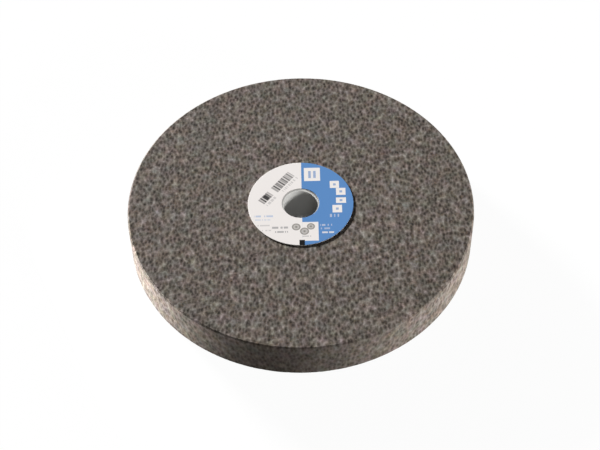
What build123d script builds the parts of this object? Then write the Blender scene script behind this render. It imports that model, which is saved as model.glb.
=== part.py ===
from build123d import *
import os

# Bench grinding wheel, 200 x 25 mm with a 20 mm bore, in millimetres.
# It lies on its bare side at Z = 0, with the spindle axis on Z and the label card on top.
# Three pieces: the fired abrasive disc, the lining cast into its hole, and the card glued over both.

# Abrasive disc
wheel_diameter = 200.0
wheel_width = 25.0
arris_break = 0.8  # both outer corners are rubbed off at 45 degrees

# Bore lining
bore_diameter = 20.0
lining_wall = 3.0
seat_clearance = 0.05  # radial gap between the lining and the disc's hole
end_recess = 0.5  # the lining stops short of both side faces, so flanges grip only the disc
mouth_flare = 0.3  # 45 degree lead-in at both ends of the bore

# Label card
card_diameter = 61.0
card_thickness = 0.5
card_hole_margin = 0.55  # radial step from the bore's flared mouth to the card's hole

wheel_radius = wheel_diameter / 2
bore_radius = bore_diameter / 2
lining_radius = bore_radius + lining_wall
seat_radius = lining_radius + seat_clearance
mouth_radius = bore_radius + mouth_flare


def ring(half_section):
    """A ring turned about Z from its half section, a closed outline of (radius, height) points."""
    outline = Polyline(*half_section, close=True)
    return revolve(make_face(Plane.XZ * outline), Axis.Z)


def abrasive_wheel():
    """The pressed and fired disc: flat sides, a trued face, broken corners and a plain hole."""
    corner_radius = wheel_radius - arris_break
    return ring([
        (seat_radius, 0),
        (corner_radius, 0),
        (wheel_radius, arris_break),
        (wheel_radius, wheel_width - arris_break),
        (corner_radius, wheel_width),
        (seat_radius, wheel_width),
    ])


def bore_lining():
    """The cast sleeve that holds the bore to size, flared at both mouths."""
    foot = end_recess
    head = wheel_width - end_recess
    return ring([
        (lining_radius, foot),
        (lining_radius, head),
        (mouth_radius, head),
        (bore_radius, head - mouth_flare),
        (bore_radius, foot + mouth_flare),
        (mouth_radius, foot),
    ])


def label_card():
    """The pressed card glued flat to the top side, which the clamping flange bears on."""
    hole_radius = mouth_radius + card_hole_margin
    card = Circle(card_diameter / 2) - Circle(hole_radius)
    return Pos(0, 0, wheel_width) * extrude(card, card_thickness)


pieces = {
    "abrasive_wheel": abrasive_wheel(),
    "bore_lining": bore_lining(),
    "label_card": label_card(),
}

os.makedirs("parts", exist_ok=True)
for name, piece in pieces.items():
    export_step(piece, f"parts/{name}.step")
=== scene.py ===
import random
from math import atan2, ceil, cos, floor, radians, sin, tan

import bmesh
import bpy
from mathutils import Matrix, Vector


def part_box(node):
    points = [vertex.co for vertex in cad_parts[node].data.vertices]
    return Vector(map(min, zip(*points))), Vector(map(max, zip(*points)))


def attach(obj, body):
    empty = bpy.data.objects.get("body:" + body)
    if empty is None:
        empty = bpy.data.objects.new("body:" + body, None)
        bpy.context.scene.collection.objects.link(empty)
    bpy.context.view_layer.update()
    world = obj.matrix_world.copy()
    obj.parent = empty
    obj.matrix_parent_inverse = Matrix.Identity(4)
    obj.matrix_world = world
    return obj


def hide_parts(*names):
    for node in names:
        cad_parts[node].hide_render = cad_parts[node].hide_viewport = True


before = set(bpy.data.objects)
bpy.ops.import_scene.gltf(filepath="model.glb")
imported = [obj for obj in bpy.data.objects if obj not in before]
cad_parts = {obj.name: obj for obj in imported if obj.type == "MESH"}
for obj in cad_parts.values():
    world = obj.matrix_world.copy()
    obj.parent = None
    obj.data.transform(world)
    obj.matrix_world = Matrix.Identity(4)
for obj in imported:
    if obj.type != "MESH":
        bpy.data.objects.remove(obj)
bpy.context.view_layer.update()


# Abrasive disc: crushed grain pressed with clay and fired hard, then trued with a diamond.
# Its sides and rim are broken grain with open pores between, and its corners are rubbed off.

MM = 0.001
wheel_low, wheel_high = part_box("abrasive_wheel")
lining_low, lining_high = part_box("bore_lining")
wheel_radius = wheel_high.x
half_width = (wheel_high.z - wheel_low.z) / 2
mid_height = (wheel_high.z + wheel_low.z) / 2
arris_break = 0.8 * MM
cement_gap = 0.05 * MM
side_radius = wheel_radius - arris_break
hole_radius = lining_high.x + cement_gap
grain_rings = 112
grain_pitch = side_radius / grain_rings
hole_ring = round(hole_radius / grain_pitch)
sixth = radians(60)
same_place = 1e-6  # metres


def ring_and_angle(corner):
    """The ring of grains that a point of a hexagon is on, and its angle once that ring is round."""
    turn = atan2(corner.y, corner.x) / sixth
    sector = floor(turn)
    lean = (turn - sector - 0.5) * sixth
    ring = round(corner.length * cos(lean) / cos(sixth / 2) * grain_rings)
    return ring, (sector + 0.5 + tan(lean) / tan(sixth / 2) / 2) * sixth


disc = bmesh.new()
bmesh.ops.create_circle(disc, cap_ends=True, cap_tris=True, segments=6, radius=1,
                        matrix=Matrix.Rotation(sixth / 2, 4, "Z"))
bmesh.ops.subdivide_edges(disc, edges=disc.edges[:], cuts=grain_rings - 1, use_grid_fill=True)
spare = []
for vert in disc.verts:
    ring, angle = ring_and_angle(vert.co)
    radius = hole_radius if ring == hole_ring else ring * grain_pitch
    vert.co = (radius * cos(angle), radius * sin(angle), half_width)
    if ring < hole_ring:
        spare.append(vert)
bmesh.ops.delete(disc, geom=spare, context="VERTS")


def draw_down(edges, stations):
    """Extrudes a round edge loop through rings given as (radius, height)."""
    for radius, height in stations:
        made = bmesh.ops.extrude_edge_only(disc, edges=edges)["geom"]
        for vert in made:
            if isinstance(vert, bmesh.types.BMVert):
                around = Vector((vert.co.x, vert.co.y)).normalized() * radius
                vert.co = (around.x, around.y, height)
        edges = [edge for edge in made if isinstance(edge, bmesh.types.BMEdge)]


rim_top = half_width - arris_break
rim_rows = ceil(rim_top / grain_pitch)
rim_stations = [(wheel_radius, rim_top * (1 - row / rim_rows)) for row in range(rim_rows + 1)]
loops = [edge for edge in disc.edges if edge.is_boundary]
outer_loop = [edge for edge in loops if edge.verts[0].co.xy.length > wheel_radius / 2]
inner_loop = [edge for edge in loops if edge.verts[0].co.xy.length < wheel_radius / 2]
draw_down(outer_loop, rim_stations)
draw_down(inner_loop, [(hole_radius, 0)])
whole = disc.verts[:] + disc.edges[:] + disc.faces[:]
bmesh.ops.mirror(disc, geom=whole, axis="Z", merge_dist=same_place)
bmesh.ops.remove_doubles(disc, verts=disc.verts, dist=same_place)
bmesh.ops.recalc_face_normals(disc, faces=disc.faces)
bmesh.ops.triangulate(disc, faces=disc.faces)

grain_relief = 0.06 * MM  # how deep the pores are on the sides and the corners
rim_trueing = 3  # the diamond leaves the rim's pores this many times shallower
grain_shift = 0.30 * grain_pitch
own_share = 0.65  # of a pore's depth; the rest follows the grains around it
depth_spread = 1.5
grit = random.Random(36)
pore = disc.verts.layers.float.new("pore")
trued = disc.verts.layers.float.new("trued")
chance = {vert: grit.random() for vert in disc.verts}
for vert in disc.verts:
    out = Vector((vert.co.x, vert.co.y, 0)).normalized()
    around = Vector((-out.y, out.x, 0))
    radius = vert.co.xy.length
    if radius < hole_radius + grain_pitch / 2:
        continue  # the hole's wall stays plain under the lining
    neighbours = [chance[edge.other_vert(vert)] for edge in vert.link_edges]
    blend = own_share * chance[vert] + (1 - own_share) * sum(neighbours) / len(neighbours)
    vert[pore] = min(1.0, max(0.0, 0.5 + (blend - 0.5) * depth_spread))
    sink = grain_relief * vert[pore] ** 2
    slide, stray = (grain_shift * (2 * grit.random() - 1) for _ in range(2))
    on_side = abs(vert.co.z) > half_width - same_place
    on_rim = radius > wheel_radius - same_place
    upward = Vector((0, 0, 1 if vert.co.z > 0 else -1))
    at_corner = radius > side_radius - same_place and abs(vert.co.z) > rim_top - same_place
    if at_corner:
        vert.co += around * slide - (out + upward) * sink
    elif on_side:
        vert.co += around * slide + out * stray - upward * sink
    elif on_rim:
        vert.co += around * slide + Vector((0, 0, stray)) - out * sink / rim_trueing
    vert[trued] = float(on_rim)
bmesh.ops.translate(disc, verts=disc.verts, vec=(0, 0, mid_height))


class Field:
    """A value that varies over a surface. Arithmetic on it adds Math nodes to its material."""

    def __init__(self, socket):
        self.socket = socket

    def node(self, kind, output, settings, sockets):
        """Adds a node, sets it up, fills its sockets with values or fields, and returns one output."""
        tree = self.socket.id_data
        made = tree.nodes.new("ShaderNode" + kind)
        for name, value in settings.items():
            if name == "stops":
                fill_ramp(made.color_ramp, value)
            else:
                setattr(made, name, value)
        for name, value in sockets.items():
            if isinstance(value, Field):
                tree.links.new(value.socket, made.inputs[name])
            else:
                made.inputs[name].default_value = value
        return Field(made.outputs[output])

    def math(self, operation, *values):
        sockets = dict(enumerate(values))
        return self.node("Math", 0, {"operation": operation}, sockets)

    def __add__(self, other):
        return self.math("ADD", self, other)

    def __radd__(self, other):
        return self.math("ADD", other, self)

    def __sub__(self, other):
        return self.math("SUBTRACT", self, other)

    def __rsub__(self, other):
        return self.math("SUBTRACT", other, self)

    def __mul__(self, other):
        return self.math("MULTIPLY", self, other)

    def __rmul__(self, other):
        return self.math("MULTIPLY", other, self)

    def __truediv__(self, other):
        return self.math("DIVIDE", self, other)

    def __gt__(self, other):
        return self.math("GREATER_THAN", self, other)

    def __lt__(self, other):
        return self.math("LESS_THAN", self, other)

    def least(self, other):
        return self.math("MINIMUM", self, other)

    def most(self, other):
        return self.math("MAXIMUM", self, other)

    def clamp(self):
        return self.least(1.0).most(0.0)

    def mix(self, bare, covered):
        """The bare colour where this mask is 0, and the covered one where it is 1."""
        return self.node("Mix", 2, {"data_type": "RGBA"}, {0: self, 6: bare, 7: covered})


def fill_ramp(ramp, stops):
    """Gives a colour ramp its stops, as (place, colour)."""
    while len(ramp.elements) < len(stops):
        ramp.elements.new(1.0)
    for element, (place, colour) in zip(ramp.elements, stops):
        element.position = place
        element.color = colour


def finish(name):
    """A new material: its shader, and the surface's own coordinates in metres."""
    material = bpy.data.materials.new(name)
    material.use_nodes = True
    shader = material.node_tree.nodes["Principled BSDF"]
    place = Field(material.node_tree.nodes.new("ShaderNodeTexCoord").outputs["Object"])
    return material, shader, place


def feed(shader, **fields):
    """Links fields to a shader's sockets, and writes plain values on them."""
    for name, value in fields.items():
        socket = shader.inputs[name.replace("_", " ")]
        if isinstance(value, Field):
            socket.id_data.links.new(value.socket, socket)
        else:
            socket.default_value = value


cell_density = (1.5, 0.87, 0.8)  # the hollows are narrower across than away
# Tones of the grain, from the near-black painted shade of the pores up to the grain's own pale
# colours.
grain_and_pore_shade_colours = [
    (0.00, (0.020, 0.016, 0.013, 1)),
    (0.30, (0.073, 0.060, 0.050, 1)),
    (0.55, (0.144, 0.122, 0.105, 1)),
    (0.80, (0.228, 0.199, 0.178, 1)),
    (1.00, (0.334, 0.299, 0.272, 1)),
]
rusty_grain = (0.150, 0.108, 0.070, 1)
rusty_from = 0.86  # one grain in seven is tinted
middle_tone = 0.465
side_contrast = 0.94
contrast_lost_on_rim = 0.36
tinge_share = (0.36, 0.22, 0.28)
tinge_base = (0.82, 0.89, 0.86)

# The scale of each pattern is a count of its cells to the metre.
grain_finish, shader, place = finish("fired_grain")
depth = place.node("Attribute", "Fac", {"attribute_name": "pore"}, {})
polish = place.node("Attribute", "Fac", {"attribute_name": "trued"}, {})
drawn = place.node("VectorMath", "Vector", {"operation": "MULTIPLY"}, {0: place, 1: cell_density})
clump = place.node("TexNoise", "Fac", {}, {"Vector": drawn, "Scale": 450.0, "Detail": 1.0})
tinge = place.node("TexNoise", "Color", {}, {"Vector": place, "Scale": 180.0, "Detail": 1.0})
painted_hollow_shade = place.node("TexVoronoi", "Distance", {"feature": "F1"}, {"Vector": drawn, "Scale": 360.0})
grains = place.node("TexVoronoi", "Color", {"feature": "F1"}, {"Vector": place, "Scale": 1250.0})
hollow = place.node("TexVoronoi", "Distance", {"feature": "F1"}, {"Vector": place, "Scale": 1250.0})
crumbs = place.node("TexVoronoi", "Color", {"feature": "F1"}, {"Vector": place, "Scale": 2600.0})
grain_tone = grains.node("SeparateColor", "Red", {}, {"Color": grains})
grain_tint = grains.node("SeparateColor", "Green", {}, {"Color": grains})
crumb_tone = crumbs.node("SeparateColor", "Red", {}, {"Color": crumbs})
# The hollow cells and the deeper pores are painted darker. This is painted shade in the pores, laid
# over the grain's own uneven tone, and the trued rim gets less of it.
weights = ((painted_hollow_shade, 0.92), (clump, 0.82), (depth, -0.15), (grain_tone, 0.12), (crumb_tone, 0.08))
swing = sum((pattern - 0.5) * weight for pattern, weight in weights)
tone = middle_tone + swing * (side_contrast - polish * contrast_lost_on_rim)
shade = tone.node("ValToRGB", "Color", {"stops": grain_and_pore_shade_colours}, {"Fac": tone})
rusty = ((grain_tint - rusty_from) * 8).clamp() * 0.5
shade = rusty.mix(shade, rusty_grain)
cast = tinge.node("VectorMath", "Vector", {"operation": "MULTIPLY_ADD"},
                  {0: tinge, 1: tinge_share, 2: tinge_base})
shade = shade.node("VectorMath", "Vector", {"operation": "MULTIPLY"}, {0: shade, 1: cast})
relief = hollow * -0.5 + crumb_tone * 0.25
bump = place.node("Bump", "Normal", {}, {"Strength": 0.5, "Distance": 0.02 * MM, "Height": relief})
feed(shader, Base_Color=shade, Roughness=0.95 - tone * 0.2, Normal=bump, Specular_IOR_Level=0.12)


def piece(name, shape, material, smooth):
    """A new object from a bmesh, with one material, riding on the wheel's one body."""
    mesh = bpy.data.meshes.new(name)
    shape.to_mesh(mesh)
    shape.free()
    mesh.materials.append(material)
    made = bpy.data.objects.new(name, mesh)
    bpy.context.scene.collection.objects.link(made)
    if smooth:
        mesh.shade_smooth()
        flats = made.modifiers.new("flats", "WEIGHTED_NORMAL")
        flats.weight = 100
    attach(made, "root")
    return made


grain_disc = piece("grain_disc", disc, grain_finish, smooth=False)
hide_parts("abrasive_wheel")


# Bore lining: a smooth pale sleeve cast into the disc's hole, which holds the bore to size.
# Its ends stop short of the sides, and both mouths are flared to lead the spindle in.

bore_radius = 10 * MM
mouth_flare = 0.3 * MM
lining_round = 0.08 * MM
turning_steps = 144
round_segments = 3


def turned(half_section, rounding):
    """A ring turned about Z from a closed half section of (radius, height), its corners rounded."""
    ring = bmesh.new()
    corners = [ring.verts.new((radius, 0, height)) for radius, height in half_section]
    ring.faces.new(corners)
    bmesh.ops.bevel(ring, geom=corners, offset=rounding, segments=round_segments, profile=0.5,
                    affect="VERTICES", material=-1)
    bmesh.ops.delete(ring, geom=ring.faces[:], context="FACES_ONLY")
    bmesh.ops.spin(ring, geom=ring.verts[:] + ring.edges[:], cent=(0, 0, 0), axis=(0, 0, 1),
                   angle=radians(360), steps=turning_steps, use_merge=True)
    bmesh.ops.remove_doubles(ring, verts=ring.verts, dist=same_place)
    bmesh.ops.recalc_face_normals(ring, faces=ring.faces)
    return ring


mouth_radius = bore_radius + mouth_flare
lining_radius = lining_high.x
lining_section = [
    (lining_radius, lining_low.z),
    (lining_radius, lining_high.z),
    (mouth_radius, lining_high.z),
    (bore_radius, lining_high.z - mouth_flare),
    (bore_radius, lining_low.z + mouth_flare),
    (mouth_radius, lining_low.z),
]
lining_dark = (0.30, 0.297, 0.283, 1)
lining_pale = (0.38, 0.377, 0.365, 1)
drawn_down = (1, 1, 0.08)  # scuffs of the spindle run along the bore

lining_finish, shader, place = finish("cast_lining")
mottle = place.node("TexNoise", "Fac", {}, {"Vector": place, "Scale": 220.0, "Detail": 4.0})
stretched = place.node("VectorMath", "Vector", {"operation": "MULTIPLY"}, {0: place, 1: drawn_down})
scuff = place.node("TexNoise", "Fac", {}, {"Vector": stretched, "Scale": 1400.0, "Detail": 2.0})
skin = mottle * 0.7 + scuff * 0.3
bump = place.node("Bump", "Normal", {}, {"Strength": 0.4, "Distance": 0.03 * MM, "Height": skin})
lining_tone = skin.mix(lining_dark, lining_pale)
feed(shader, Base_Color=lining_tone, Roughness=0.55 + mottle * 0.2, Normal=bump,
     Specular_IOR_Level=0.2)
sleeve = piece("cast_sleeve", turned(lining_section, lining_round), lining_finish, smooth=True)
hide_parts("bore_lining")


# Label card: a ring of pressed card, printed half white and half blue, glued to the upper side.
# It was punched out in one stroke, and the clamping flange bears on it.

card_low, card_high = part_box("label_card")
card_radius = card_high.x
card_hole_margin = 0.55 * MM
card_hole_radius = mouth_radius + card_hole_margin
card_section = [
    (card_hole_radius, card_low.z),
    (card_hole_radius, card_high.z),
    (card_radius, card_high.z),
    (card_radius, card_low.z),
]
punched_round = 0.10 * MM
raw_depth = 0.1 * MM  # below the top, the card's edge goes from print to bare card
paper_white = (0.872, 0.829, 0.803, 1)
raw_card = (0.80, 0.775, 0.745, 1)
print_blue = (0.110, 0.262, 0.555, 1)
print_black = (0.006, 0.006, 0.007, 1)
print_grey = (0.22, 0.22, 0.23, 1)
print_olive = (0.10, 0.092, 0.070, 1)
pale_blue = (0.42, 0.52, 0.70, 1)

# All places and lengths of the print are in millimetres from the card's centre.
card_finish, shader, place = finish("printed_card")
across = place.node("SeparateXYZ", "X", {}, {"Vector": place}) / MM
away = place.node("SeparateXYZ", "Y", {}, {"Vector": place}) / MM
height = place.node("SeparateXYZ", "Z", {}, {"Vector": place})
slant = radians(50.6)
along_strip = across * cos(slant) + away * sin(slant)
over_strip = away * cos(slant) - across * sin(slant)
ink_edge = 0.12


def inside(along, low, high, blur=ink_edge):
    """1 between two places along a field, and 0 outside them, with a soft edge of ink."""
    return ((along - low) / blur + 0.5).clamp().least(((high - along) / blur + 0.5).clamp())


def block(low_x, high_x, low_y, high_y):
    """A printed rectangle, square to the card's own axes."""
    return inside(across, low_x, high_x).least(inside(away, low_y, high_y))


def slanted_block(low, high, near, far, blur=ink_edge):
    """A printed rectangle, square to the slanted strips of bars."""
    return inside(along_strip, low, high, blur).least(inside(over_strip, near, far, blur))


def dashes(along, pace, share, seed):
    """A row of unequal dashes, as a line of print looks from a step away."""
    step = along.math("FLOOR", along / pace)
    chance = along.node("TexWhiteNoise", "Value", {"noise_dimensions": "1D"}, {"W": step + seed})
    return chance < share


def small_print(under, rows, pace, share, tint):
    """Prints rows of dashes: left, right, lower and upper edge, strength of ink and seed."""
    for low_x, high_x, low_y, high_y, strength, seed in rows:
        ink = block(low_x, high_x, low_y, high_y) * dashes(across, pace, share, seed)
        under = (ink * strength).mix(under, tint)
    return under


blue_side = 0.7
beyond_card = 40
white_panel = inside(away, -27.5, -14.0).least(inside(across, blue_side, 9.9))
blue_field = inside(across, blue_side, beyond_card).least(1 - white_panel)
print_colour = blue_field.mix(paper_white, print_blue)

# Slanted strips of bars: middle across, middle away, length, width, pace, and if one bar is broad.
# Two waves that are out of step leave bars of uneven width.
for middle_x, middle_y, length, width, pace, broad_bar in (
    (-10.2, 16.0, 15.6, 5.2, 4.3, False),
    (-20.1, 4.35, 8.6, 4.6, 4.2, True),
):
    middle = middle_x * cos(slant) + middle_y * sin(slant)
    side = middle_y * cos(slant) - middle_x * sin(slant)
    low, high = middle - length / 2, middle + length / 2
    near, far = side - width / 2, side + width / 2
    wave = along_strip.math("SINE", along_strip * pace)
    wave = wave + along_strip.math("SINE", along_strip * pace * 0.63 + 1)
    worn = 1 - ((along_strip - middle) / length).clamp() * 0.5
    bars = slanted_block(low, high, near, far) * (wave * 0.22 + 0.58).clamp() * worn
    print_colour = bars.mix(print_colour, print_black)
    caption = slanted_block(low, high, near - 2.6, near - 0.9) * dashes(along_strip, 0.5, 0.5, pace)
    print_colour = (caption * 0.35).mix(print_colour, print_grey)
    if broad_bar:
        broad = slanted_block(middle - 1.0, middle + 1.8, side - 1.9, side + 1.9, 0.5)
        print_colour = (broad * 0.85).mix(print_colour, print_black)

blue_rows = (
    (-26.9, -16.0, -9.9, -8.6, 0.75, 5),
    (-26.4, -17.5, -12.4, -11.3, 0.40, 19),
)
grey_rows = (
    (-16.6, -7.5, -18.4, -17.0, 0.65, 23),
    (-14.9, -7.5, -21.4, -20.2, 0.65, 29),
    (-25.0, -17.2, -16.5, -15.5, 0.35, 31),
    (-22.3, -17.2, -20.1, -19.1, 0.35, 37),
    (0.6, 5.6, -24.6, -23.8, 0.45, 43),
)
print_colour = small_print(print_colour, blue_rows, 0.62, 0.7, pale_blue)
print_colour = small_print(print_colour, grey_rows, 0.62, 0.7, print_grey)

# Ringed discs with a dark dot: middle across, middle away, and radius.
ring_width = 0.8
dot_radius = 1.1
for middle_x, middle_y, radius in ((-2.8, -17.4, 2.5), (1.9, -20.6, 2.6), (5.6, -17.2, 2.3)):
    squares = across.math("POWER", across - middle_x, 2.0)
    squares = squares + away.math("POWER", away - middle_y, 2.0)
    reach = squares.math("SQRT", squares)
    line = inside(reach, radius - ring_width, radius, 0.3)
    dot = 1 - (reach / dot_radius).clamp()
    disc_ink = ((radius - reach) / 0.15 + 0.5).clamp() * (0.42 + 0.30 * line + 0.5 * dot)
    print_colour = disc_ink.mix(print_colour, print_olive)

index_mark = block(-1.1, 2.0, -32.0, -26.8)
print_colour = index_mark.mix(print_colour, print_black)

# White blocks on the blue, each with a small opening: left, right, lower and upper edge.
opening_reach = 0.8
opening_strength = 0.7
for low_x, high_x, low_y, high_y in (
    (17.2, 22.6, 10.8, 16.1),
    (20.7, 26.2, 5.5, 10.7),
    (20.5, 26.3, -0.5, 3.6),
    (18.3, 23.8, -7.4, -1.9),
):
    middle_x, middle_y = (low_x + high_x) / 2, (low_y + high_y) / 2
    opening = block(middle_x - opening_reach, middle_x + opening_reach,
                    middle_y - opening_reach, middle_y + opening_reach)
    white_block = block(low_x, high_x, low_y, high_y) * (1 - opening * opening_strength)
    print_colour = white_block.mix(print_colour, paper_white)

slots = block(4.8, 6.3, 18.6, 24.0).most(block(7.7, 9.2, 18.6, 24.0))
slotted_block = block(2.3, 11.7, 16.4, 26.4) * (1 - slots * opening_strength)
print_colour = slotted_block.mix(print_colour, paper_white)

white_rows = (
    (16.7, 21.9, -10.7, -8.5, 0.45, 47),
    (10.9, 17.7, -17.0, -15.7, 0.45, 53),
    (10.9, 17.0, -19.5, -18.2, 0.35, 59),
    (10.9, 18.7, -22.3, -21.1, 0.75, 61),
)
print_colour = small_print(print_colour, white_rows, 0.66, 0.75, paper_white)

fibre = place.node("TexNoise", "Fac", {}, {"Vector": place, "Scale": 900.0, "Detail": 4.0})
cut_edge = ((card_high.z - raw_depth - height) / raw_depth).clamp()
card_tone = cut_edge.mix(print_colour, raw_card)
bump = place.node("Bump", "Normal", {}, {"Strength": 0.3, "Distance": 0.03 * MM, "Height": fibre})
feed(shader, Base_Color=card_tone, Roughness=0.62 + fibre * 0.15, Normal=bump,
     Specular_IOR_Level=0.04)
label = piece("printed_label", turned(card_section, punched_round), card_finish, smooth=True)
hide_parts("label_card")


# Studio: a pale table, a large lamp low behind the wheel to the left, and a weaker one in front to
# the right. A low panel stands close to the rim on each side, and four small lamps light the bore.

world_fill = 0.02
table_bounce = 0.3
table_seen = 0.96
# Painted shade: under the wheel, within this radius, the table glows far less, so it looks dark down
# the bore.
glow_in_painted_shade = 0.06
painted_shade_radius = 0.9 * wheel_radius


def grey(level):
    """A neutral colour, in linear light."""
    return (level, level, level, 1)


def seen_directly(tree):
    """1 for rays from the camera, a reflection or glass, and 0 for light that falls on the wheel."""
    outputs = tree.nodes.new("ShaderNodeLightPath").outputs
    kinds = ("Is Camera Ray", "Is Glossy Ray", "Is Transmission Ray")
    return sum(Field(outputs[kind]) for kind in kinds).clamp()


def table_finish(name):
    """A surface that is seen nearly white, with a painted shade under the wheel that the bore shows.
    """
    material, shader, place = finish(name)
    tree = material.node_tree
    tree.nodes.remove(shader)
    from_axis = place.node("VectorMath", "Value", {"operation": "LENGTH"}, {0: place})
    # The glow is even over the open table and drops to a painted shade under the wheel.
    glow_and_painted_shade = (from_axis > painted_shade_radius) * (table_seen - glow_in_painted_shade) + glow_in_painted_shade
    bounce = place.node("BsdfDiffuse", "BSDF", {}, {"Color": grey(table_bounce)})
    shadowed = place.node("BsdfDiffuse", "BSDF", {}, {"Color": glow_and_painted_shade.mix(grey(1.0), grey(0.0))})
    glow = place.node("Emission", "Emission", {}, {"Color": grey(1.0), "Strength": glow_and_painted_shade})
    pale = place.node("AddShader", "Shader", {}, {0: shadowed, 1: glow})
    mixed = place.node("MixShader", "Shader", {}, {0: seen_directly(tree), 1: bounce, 2: pale})
    tree.links.new(mixed.socket, tree.nodes["Material Output"].inputs["Surface"])
    return material


table_top = bmesh.new()
bmesh.ops.create_grid(table_top, x_segments=1, y_segments=1, size=4)  # 8 m across
table_mesh = bpy.data.meshes.new("table")
table_top.to_mesh(table_mesh)
table_top.free()
table_mesh.materials.append(table_finish("pale_table"))
table = bpy.data.objects.new("table", table_mesh)
bpy.context.scene.collection.objects.link(table)

world = bpy.data.worlds.new("studio")
bpy.context.scene.world = world
world.use_nodes = True
backdrop = world.node_tree.nodes["Background"]
strength = seen_directly(world.node_tree) * (1 - world_fill) + world_fill
feed(backdrop, Color=grey(1.0), Strength=strength)


def toward(azimuth, elevation):
    """The direction of a lamp: azimuth from +X towards +Y, both in degrees."""
    turn, rise = radians(azimuth), radians(elevation)
    return Vector((cos(turn) * cos(rise), sin(turn) * cos(rise), sin(rise)))


lit_by = {}
for state in ("INCLUDE", "EXCLUDE"):
    lit_by[state] = bpy.data.collections.new("bore_" + state.lower())
    lit_by[state].objects.link(sleeve)
    lit_by[state].collection_objects[0].light_linking.link_state = state


def lamp(name, azimuth, elevation, distance, size, watts, aim, bore):
    """An unseen rectangular lamp that faces a point, and lights the bore or all but the bore."""
    light = bpy.data.lights.new(name, "AREA")
    light.shape = "RECTANGLE"
    light.size, light.size_y = size
    light.energy = watts
    bulb = bpy.data.objects.new(name, light)
    bpy.context.scene.collection.objects.link(bulb)
    direction = toward(azimuth, elevation)
    bulb.matrix_world = (-direction).to_track_quat("-Z", "Y").to_matrix().to_4x4()
    bulb.location = Vector(aim) + direction * distance
    bulb.visible_camera = False
    bulb.light_linking.receiver_collection = lit_by[bore]


# Each lamp: azimuth, elevation, distance, size and watts, in degrees and metres.
centre = (0, 0, 20 * MM)
rim_centre = (0, 0, mid_height)
lamp("back_lamp", 130, 11.5, 8.0, (1.4, 0.44), 2740, centre, "EXCLUDE")
lamp("right_lamp", -31, 12, 1.5, (0.10, 0.10), 9.5, centre, "EXCLUDE")
lamp("left_panel", 204, 0, 0.15, (0.08, 0.024), 0.158, rim_centre, "EXCLUDE")
lamp("right_panel", -16, 0, 0.4, (0.2, 0.024), 2.3, rim_centre, "EXCLUDE")
lamp("bore_right", -28, 18.5, 1.5, (0.3, 0.3), 35, centre, "INCLUDE")
lamp("bore_left", 197, 7, 1.5, (0.06, 0.06), 34, centre, "INCLUDE")
lamp("bore_fill", -70, 71, 1.5, (0.2, 0.2), 12.5, centre, "INCLUDE")
lamp("bore_back", 110, 30, 1.5, (0.2, 0.2), 9, centre, "INCLUDE")


# Camera: the place and the lens that fit the wheel's outline in the photograph, 600 x 450 pixels.
# It aims a little in front of the wheel's centre, and leans by about a degree.

image_width = 600
focal_pixels = 1523.8
camera_elevation = radians(52.07)
camera_roll = radians(-1.17)
aim_shift = Vector((0.37 * MM, -12.38 * MM))
camera_distance = 0.881

camera = bpy.data.cameras.new("camera")
camera.sensor_width = 36
camera.lens = camera.sensor_width * focal_pixels / image_width
tripod = bpy.data.objects.new("camera", camera)
bpy.context.scene.collection.objects.link(tripod)
forward = Vector((0, cos(camera_elevation), -sin(camera_elevation)))
level_down = Vector((0, -sin(camera_elevation), -cos(camera_elevation)))
level_right = Vector((1, 0, 0))
right = cos(camera_roll) * level_right - sin(camera_roll) * level_down
down = sin(camera_roll) * level_right + cos(camera_roll) * level_down
turn = Matrix((right, -down, -forward)).transposed()
tripod.matrix_world = turn.to_4x4()
tripod.location = (Vector((0, 0, wheel_high.z)) - aim_shift.x * right - aim_shift.y * down
                   - camera_distance * forward)
bpy.context.scene.camera = tripod
bpy.context.scene.view_settings.view_transform = "Standard"
